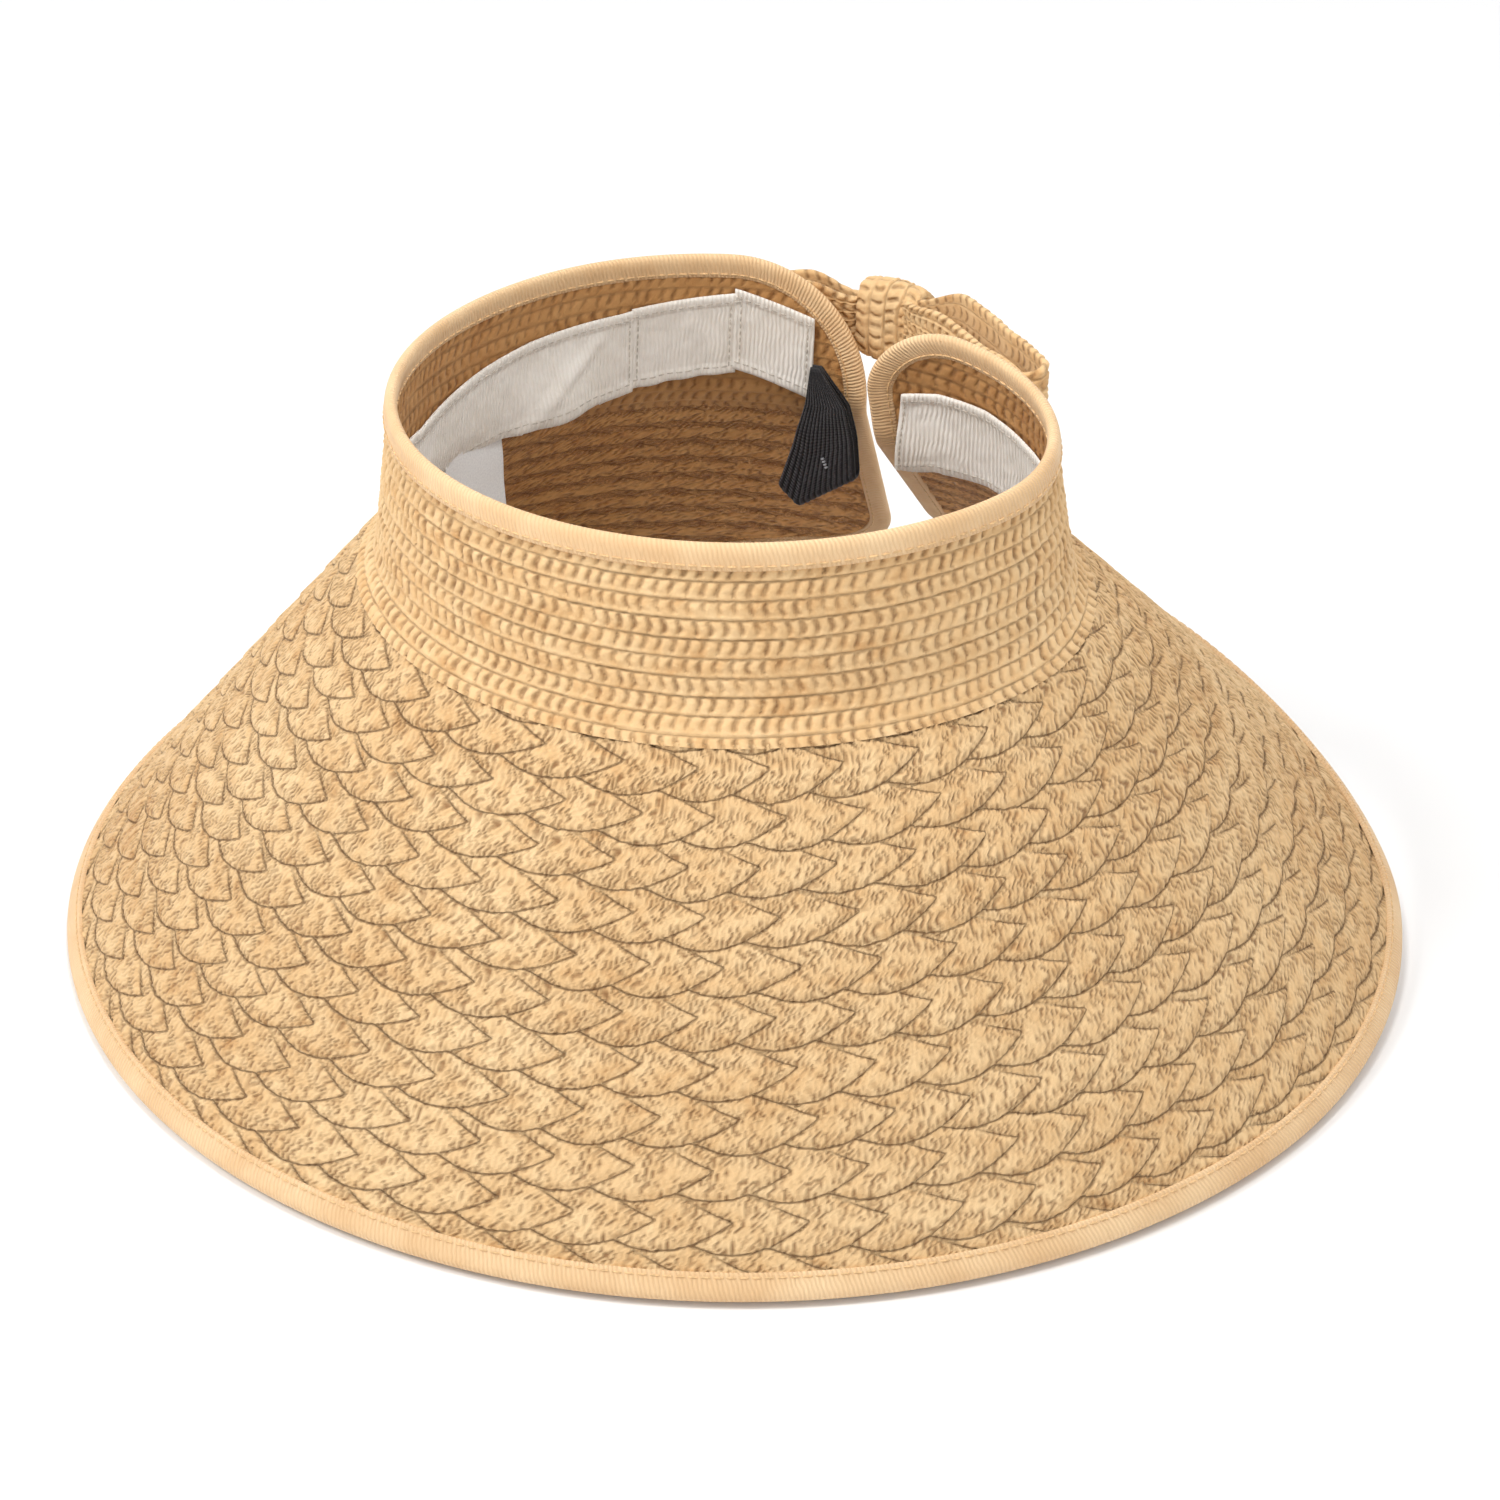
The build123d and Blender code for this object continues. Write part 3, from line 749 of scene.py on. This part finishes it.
rim_stop = edge_index(OUTLINE[1][0, 0], 0.0, 1)
brim_start, brim_stop = (edge_index(side * TAPER[0], FULL, 5) for side in (1, -1))
tape("rim_tape", "rim_binding", np.arange(0, rim_stop + 1))
tape("right_end_tape", "right_end_binding", np.arange(rim_stop, brim_start + 1))
tape("brim_tape", "brim_binding", np.arange(brim_start, brim_stop + 1))
tape("left_end_tape", "left_end_binding", np.arange(brim_stop, len(EDGE)))


# ---- cloth, webbing and the bow ----
def thick(name, middle, thickness, body, material, place, relief, loop=False, extra=None):
    """A sheet of some thickness about a grid of points; the relief is on the side that the
    normal (rows x columns) points to. A loop joins its last row to its first."""
    def step(points, axis):
        if loop and axis == 0:
            return np.roll(points, -1, 0) - np.roll(points, 1, 0)
        return np.gradient(points, axis=axis)

    normal = np.cross(step(middle, 0), step(middle, 1))
    normal /= np.maximum(np.linalg.norm(normal, axis=-1), 1e-9)[..., None]
    rows, columns = middle.shape[:2]
    t = np.broadcast_to(thickness, (rows, columns)).copy()
    lift = np.broadcast_to(relief, (rows, columns)).copy()
    for k, factor in ((0, 0.35), (1, 0.85)):
        t[:, [k, -1 - k]] *= factor
        lift[:, [k, -1 - k]] *= factor
        if not loop:
            t[[k, -1 - k]] *= factor
            lift[[k, -1 - k]] *= factor
    outer = middle + normal * (t / 2 + lift)[..., None]
    inner = middle - normal * (t / 2)[..., None]
    index = np.arange(rows * columns).reshape(rows, columns)
    if loop:
        index = np.concatenate([index, index[:1]])
    back = index + rows * columns
    strips = [(index, -1), (back, 1)]  # with the way round their faces go
    strips += [(np.stack([index[:, j], back[:, j]], 1), way) for j, way in ((0, 1), (-1, -1))]
    if not loop:
        strips += [(np.stack([index[i], back[i]]), way) for i, way in ((0, 1), (-1, -1))]
    quads = [cells_of(strip)[..., ::way].reshape(-1, 4) for strip, way in strips]
    points = np.concatenate([outer.reshape(-1, 3), inner.reshape(-1, 3)])
    attributes = {"row": np.concatenate([place.reshape(-1, 3)] * 2)}
    for key, values in (extra or {}).items():
        attributes[key] = np.concatenate([values.reshape(rows * columns, -1).squeeze()] * 2)
    return mesh_object(name, points, np.concatenate(quads), body, material, attributes)


def seam(name, points, normals, thread, slot, body, pitch=2.6, thick_mm=0.5):
    """A run of stitches along a line of points."""
    length = run_length(points)
    at = np.arange(pitch / 2, length[-1], pitch)

    def along(values, where):
        return np.stack([np.interp(where, length, values[:, k]) for k in range(3)], -1)

    run = along(points, at + 0.3 * pitch) - along(points, at - 0.3 * pitch)
    run /= np.maximum(np.linalg.norm(run, axis=1), 1e-9)[:, None]
    vertices, faces = capsule_run(along(points, at), run, along(normals, at), 0.72 * pitch,
                                  thick_mm)
    piece = mesh_object(name, vertices, faces, body, MAT[thread])
    return piece


BAND, HEM = 25.0, 3.4  # the sweatband's width and the width of its folded edges
TOP_AZIMUTHS = (-128, -125, -105.5, -94, -82, -75, -60, 60, 150, 169, 186, 197, 202)
TOP_SLANTS = (15.5, 16.3, 18.6, 21.1, 24.6, 26.5, 24, 20, 19.3, 18.1, 19.6, 23, 26)


def band_top(azimuth):
    """Slant of the sweatband's upper edge, which was sewn in by hand and wanders."""
    return np.interp(azimuth, TOP_AZIMUTHS, TOP_SLANTS)


def band_hang(azimuth):
    """How far the sweatband's loose lower edge stands in from the straw."""
    left = 5.2 * np.exp(-((azimuth + 112) / 9.0) ** 2)
    right = 3.0 * ease(azimuth, 160, 198)
    return 1.1 + left + right + 0.35 * smooth_noise(azimuth, azimuth * 0, 61, 9.0)


BAND_SLANT, BAND_STEP = 30.0, 0.34  # where the band's length is measured, and its points' pitch


def band_surface(azimuth, v, top, hang):
    """Points of the band's middle at v mm below its upper edge."""
    along = arc_length(azimuth, BAND_SLANT + 0 * azimuth)
    fold = 0.30 * smooth_noise(along + 0.9 * v, 0.7 * v, 63, 9.0) * ease(v, 3, 10)
    line = azimuth + 128 - v  # one long slanting crease
    crease = 0.9 * np.exp(-(line / 2.6) ** 2)
    crease = crease * ease(azimuth, -124, -119) * (1 - ease(azimuth, -106, -100))
    depth = -2.0 - hang * ease(v, 3.0, BAND + 2) - 0.25 * (1 + fold) - np.abs(fold) - crease
    return shell(azimuth, top + v * np.where(hang > 3, 0.985, 1.0), depth)


def sweatband(name, node, start, stop, top, hang):
    """One stretch of the sweatband between two azimuths, with its four runs of stitches."""
    on_ring = abs(start) < 148 and abs(stop) < 149
    step = math.degrees(BAND_STEP / (RIM_RADIUS if on_ring else 60.0))
    columns = np.arange(stop, start, -step)
    v, azimuth = np.meshgrid(np.arange(0, BAND + 0.2, 0.5), columns, indexing="ij")
    tops, hangs = top(azimuth), hang(azimuth)
    middle = band_surface(azimuth, v, tops, hangs)
    along = arc_length(azimuth, BAND_SLANT + 0 * azimuth)
    hem = np.maximum(1 - ease(v, HEM - 0.5, HEM + 0.1), ease(v, BAND - HEM - 0.1, BAND - HEM + 0.5))
    pinch = np.exp(-((np.minimum(v, BAND - v) - HEM + 0.9) / 0.35) ** 2)
    relief = 0.34 * hem - 0.16 * pinch + 0.07 * np.sin(2 * np.pi * along / COTTON_RIB)
    relief = relief + 0.10 * smooth_noise(along, v, 67, 2.2)
    place = np.stack([along, v, 0 * v], -1)
    piece = thick(name, middle, 0.6, "root", MAT["cotton"], place, relief)
    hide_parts(node)
    centre = shell(azimuth, tops + v, np.full_like(v, -1.0))
    inward = shell(azimuth, tops + v, np.full_like(v, -2.0)) - centre
    for word, row in (("top", int((HEM - 0.9) * 2)), ("low", int((BAND - HEM + 0.9) * 2))):
        seam(f"{name}_{word}_stitches", middle[row] + inward[row] * 0.52,
                            inward[row], "white_thread", "sweatband", "root")
    for word, column in (("right", 4), ("left", -5)):
        line, off = middle[2:-2, column], inward[2:-2, column]
        seam(f"{name}_{word}_stitches", line + off * 0.42, off, "white_thread",
                            "sweatband", "root", 2.2, 0.45)


sweatband("sweatband_long", "sweatband_main", -128.0, 96.0, band_top, band_hang)
sweatband("sweatband_panel", "sweatband_left_panel", -148.2, -127.4,
          lambda a: np.interp(a, (-148, -128), (11.0, 15.0)), lambda a: 1.0 + 0.3 * np.cos(a))
sweatband("sweatband_left", "sweatband_left_end", -163.8, -147.6,
          lambda a: np.interp(a, (-164, -148), (16.8, 9.6)), lambda a: 1.1 + 0 * a)
sweatband("sweatband_right", "sweatband_right_end", 96.0, 197.5, band_top, band_hang)


def hanging(origin, x_axis, inward, across, down, away):
    """Points in a hanging plane: across it, down it and away from it towards the inside."""
    up = np.array((0, 0, 1.0))
    return (np.array(origin) + across[..., None] * np.array(x_axis)
            - down[..., None] * up + away[..., None] * np.array(inward))


# where the label and the keeper hang: origin, the way across and the way in to the head
LABEL = ((-92.53, 24.86, 105.08), (-0.05234, -0.99863, 0.0), (0.99863, -0.05234, 0.0))
LABEL_HALF, LABEL_LONG = 12, 30
KEEPER = ((-24.4866, 101.725, 117.128), (-0.9763, -0.21644, 0.0), (0.21644, -0.9763, 0.0))
# the strap's edges: share of the way down, place across and place down
KEEPER_LEFT = ((0.0, 0.3, 0.65, 1.0), (4.6, 6.0, 9.6, 13.7), (-1.2, 10.0, 23.0, 35.8))
KEEPER_RIGHT = ((0.0, 0.3, 0.65, 1.0), (1.8, -6.2, -8.6, -9.3), (-1.2, 10.0, 20.0, 29.2))


def make_label():
    v, u = np.meshgrid(np.arange(-1.0, LABEL_LONG + 0.3, 0.5),
                       np.arange(-LABEL_HALF, LABEL_HALF + 0.3, 0.5), indexing="ij")
    curl = 0.4 + 0.9 * ease(v, 8, 30) * (u / 12) ** 2 + 0.35 * smooth_noise(u, v, 71, 8.0)
    edge = np.minimum(LABEL_HALF - np.abs(u), LABEL_LONG - v)
    label = thick("care_label_satin", hanging(*LABEL, u, v, curl), 0.34, "label", MAT["satin"],
                  np.stack([u, v, 0 * v], -1), 0.12 * (1 - ease(edge, 1.0, 1.6)))
    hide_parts("care_label")


def keeper_point(p, q, away):
    """p runs across the strap from its left edge and q down it."""
    left = [np.interp(q, KEEPER_LEFT[0], KEEPER_LEFT[k]) for k in (1, 2)]
    right = [np.interp(q, KEEPER_RIGHT[0], KEEPER_RIGHT[k]) for k in (1, 2)]
    across, down = (left[k] + (right[k] - left[k]) * p for k in (0, 1))
    corner = np.interp(p, (0, 0.25, 1), (0, 1, 0)) * ease(q, 0.35, 1.0)
    return hanging(*KEEPER, across, down + 6.7 * corner, away)


def make_keeper():
    """The elastic runs down, folds over at its lowest point and comes back up behind."""
    q_run = np.concatenate([np.linspace(0, 1, 70), np.ones(15), np.linspace(1, 0, 70)])
    turn = np.concatenate([np.zeros(70), np.linspace(0, np.pi, 15), np.full(70, np.pi)])
    q, p = np.meshgrid(soften(q_run, 2), np.linspace(0, 1, 52), indexing="ij")
    bend = np.broadcast_to(turn[:, None], q.shape)
    near_top = 1 - ease(q, 0.0, 0.4)
    away = 2.6 + np.cos(bend) * (1.75 - 0.85 * near_top) + 0.6 * near_top
    away = away + 0.35 * smooth_noise(p * 20, q * 40, 73, 7.0) * (1 - near_top)
    middle = keeper_point(p, q, away)
    middle[..., 2] -= 1.7 * np.sin(bend)
    ribs = 0.12 * np.cos(2 * np.pi * p * KEEPER_WIDE / KEEPER_RIB)
    keeper = thick("keeper_strap", middle, 1.15, "keeper", MAT["elastic"],
                   np.stack([p * KEEPER_WIDE, q * 40, 0 * q], -1), ribs)
    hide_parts("keeper_loop")
    line = hanging(*KEEPER, np.linspace(0.5, -0.9, 9), np.linspace(25.6, 28.8, 9), np.full(9, 5.15))
    tack = seam("keeper_bar_tack", line, np.tile(KEEPER[2], (9, 1)), "grey_thread", "elastic",
                "keeper", 0.9, 1.3)


make_label()
make_keeper()

WING, WAIST_HALF = 18.5, 9.4  # half the bow's height, at a wing and at its waist
ACROSS = 84  # points across the bow's braid
WING_DEPTH, LEFT_GAP, RIGHT_GAP = 5.95, 3.3, 3.4  # half the space between a wing's layers
RIGHT_ARC = ((-13.2, 117.0), (24.0, 97.2), (52.0, 78.8))  # the right wing seen from above


def straw_ribbon(name, node, middle, tall, body, thickness=1.5, loop=False):
    """A loop of knitted braid; tall is the place up the braid in mm. Also gives its length in m."""
    along = run_length(middle[:, middle.shape[1] // 2])
    along = np.broadcast_to(along[:, None], middle.shape[:2])
    depth, gap, place, lap = knit(lambda s: along, tall)
    piece = thick(name, middle, thickness, body, MAT["crown"], place, 0.75 * np.clip(depth, 0, 1.2),
                  loop, {"gap": gap, "lap": lap})
    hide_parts(node)
    return piece, float(along.max()) * 1e-3


def make_left_wing():
    """It lies on the crown's wall and stops at the knot's mouth, so the knot can turn."""
    run = np.linspace(-169.5, -127.5, 180)
    to_knot = 1 - ease(run, -172.0, -157.0)
    mid_depth, half_gap = WING_DEPTH + 5.2 * to_knot, LEFT_GAP - 2.0 * to_knot
    turn = np.linspace(np.pi / 2, -np.pi / 2, 24)[1:-1]
    tip = run[-1] + math.degrees(LEFT_GAP / 95) * np.cos(turn)
    azimuths = np.concatenate([run, tip, run[::-1]])
    depths = np.concatenate([mid_depth + half_gap, WING_DEPTH + LEFT_GAP * np.sin(turn),
                             (mid_depth - half_gap)[::-1]])
    narrow = np.concatenate([to_knot, 0 * turn, to_knot[::-1]])
    half = (WING + (WAIST_HALF - WING) * ease(narrow, 0.0, 0.95))[:, None]
    t, azimuth = np.meshgrid(np.linspace(-1, 1, ACROSS), azimuths)
    droop = 1.2 + 5.6 * ease(azimuth, -171.0, -152.0)
    middle = shell(azimuth, 21.64 + droop - t * half,
                   depths[:, None] + 0.35 * smooth_noise(azimuth, t * 9, 81, 6.0))
    left_wing, length = straw_ribbon("bow_left_wing", "bow_left_loop", middle, (t + 1) * WING,
                                     "root")


def circle_through(a, b, c):
    d = 2 * (a[0] * (b[1] - c[1]) + b[0] * (c[1] - a[1]) + c[0] * (a[1] - b[1]))
    centre = np.array((
        ((a @ a) * (b[1] - c[1]) + (b @ b) * (c[1] - a[1]) + (c @ c) * (a[1] - b[1])) / d,
        ((a @ a) * (c[0] - b[0]) + (b @ b) * (a[0] - c[0]) + (c @ c) * (b[0] - a[0])) / d))
    return centre, float(np.linalg.norm(a - centre))


def make_right_wing():
    """A hollow loop that starts inside the knot; its outer layer stands taller."""
    a, b, c = (np.array(point) for point in RIGHT_ARC)
    centre, radius = circle_through(a, b, c)
    first, last = (math.atan2(*(point - centre)[::-1]) for point in (a, c))
    share = np.linspace(0.06, 1.0, 200)
    angle = first + (last - first) * share
    half_gap = 1.0 + 2.4 * ease(share, 0.06, 0.34)
    turn = np.linspace(-np.pi / 2, np.pi / 2, 24)[1:-1]
    tip = last + np.sign(last - first) * RIGHT_GAP * np.cos(turn) / radius
    angles = np.concatenate([angle, tip, angle[::-1]])[:, None]
    offsets = np.concatenate([-half_gap, RIGHT_GAP * np.sin(turn), half_gap[::-1]])[:, None]
    shares = np.concatenate([share, np.ones(22), share[::-1]])
    outer_layer = np.concatenate([0 * share, (np.sin(turn) + 1) / 2, 0 * share + 1])
    grown = ease(shares, 0.08, 0.42)
    upper = WAIST_HALF + (14.2 + 4.3 * outer_layer - WAIST_HALF) * grown
    upper = upper + 2.2 * (1 - outer_layer) * ease(shares, 0.6, 1.0)
    lower = WAIST_HALF + (17.5 - 3.6 * ease(shares, 0.55, 1.0) - WAIST_HALF) * grown
    t = np.linspace(0, 1, ACROSS)[None, :]
    z = BOW_Z - lower[:, None] + (upper + lower)[:, None] * t
    reach = radius + offsets + 0.5 * smooth_noise(angles * 400, t * 9, 83, 8.0)
    middle = np.stack([centre[0] + reach * np.cos(angles), centre[1] + reach * np.sin(angles), z],
                      -1)
    right_wing, length = straw_ribbon("bow_right_wing", "bow_right_loop", middle,
                                      2 * WING * t + 0 * z, "bow_tab")


def make_knot():
    """A short band of the same braid wrapped round the waist."""
    wide, power = KNOT_RIGHT - KNOT_LEFT, 0.62
    theta, x = np.meshgrid(np.linspace(0, 2 * np.pi, 240, endpoint=False),
                           np.linspace(KNOT_LEFT, KNOT_RIGHT, 60), indexing="ij")
    cinch = 0.80 + 0.20 * np.sin(np.pi * np.clip((x - KNOT_LEFT) / wide, 0, 1)) ** 0.6
    across, up = (np.sign(w) * np.abs(w) ** power for w in (np.cos(theta), np.sin(theta)))
    middle = np.stack([x + 0.8 * smooth_noise(theta * 7, x, 91, 5.0), KNOT_Y + 5.0 * cinch * across,
                       BOW_Z + 11.0 * cinch * up], -1)
    knot, length = straw_ribbon("bow_knot_band", "bow_knot", middle, x - KNOT_LEFT, "bow_tab", 1.4,
                                True)


make_left_wing()
make_right_wing()
make_knot()

# ---- stage, light and camera ----
floor_mesh = bpy.data.meshes.new("floor")
FLOOR_CORNERS, FLOOR_Z = ((-6, -6), (6, -6), (6, 9), (-6, 9)), -0.0005
floor_mesh.from_pydata([(x, y, FLOOR_Z) for x, y in FLOOR_CORNERS], [], [(0, 1, 2, 3)])
floor = bpy.data.objects.new("floor", floor_mesh)
bpy.context.scene.collection.objects.link(floor)
pale = Nodes("pale_floor", 0.9, 0.1)
pale.colour((0.93, 0.93, 0.93, 1.0))
floor_mesh.materials.append(pale.material)

world = bpy.data.worlds.new("studio")
bpy.context.scene.world = world
world.use_nodes = True
sky = world.node_tree.nodes["Background"].inputs
sky["Color"].default_value, sky["Strength"].default_value = (1, 1, 1, 1), 0.75


def aim(thing, target):
    thing.rotation_mode = "QUATERNION"
    thing.rotation_quaternion = (Vector(target) - thing.location).to_track_quat("-Z", "Y")


def area_light(name, place, target, size, power):
    data = bpy.data.lights.new(name, "AREA")
    data.energy, data.size = power, size
    lamp = bpy.data.objects.new(name, data)
    lamp.location = place
    aim(lamp, target)
    bpy.context.scene.collection.objects.link(lamp)


area_light("key", (-0.9, -1.0, 1.5), (0, 0, 0.06), 0.7, 16)
area_light("fill", (1.3, -0.6, 0.9), (0, 0, 0.06), 1.2, 0.3)
area_light("inside", (0.10, -0.16, 0.62), (-0.03, 0.08, 0.12), 0.12, 1.25)
area_light("back", (0.3, 1.4, 1.2), (0, 0, 0.08), 1.0, 4)

camera_data = bpy.data.cameras.new("camera")
camera = bpy.data.objects.new("camera", camera_data)
bpy.context.scene.collection.objects.link(camera)
camera_data.lens, camera_data.sensor_width = 83.0, 36.0
camera_data.clip_start, camera_data.clip_end = 0.05, 30
camera.location = (0.4510, -0.64966, 0.5193)
aim(camera, (0.0061, 0.0152, 0.04526))
bpy.context.scene.camera = camera
bpy.context.scene.view_settings.view_transform = "Standard"

for node in ("closure_loop_strip", "closure_hook_strip"):
    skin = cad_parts[node]
    skin.data.materials.clear()
    skin.data.materials.append(MAT["hook"])
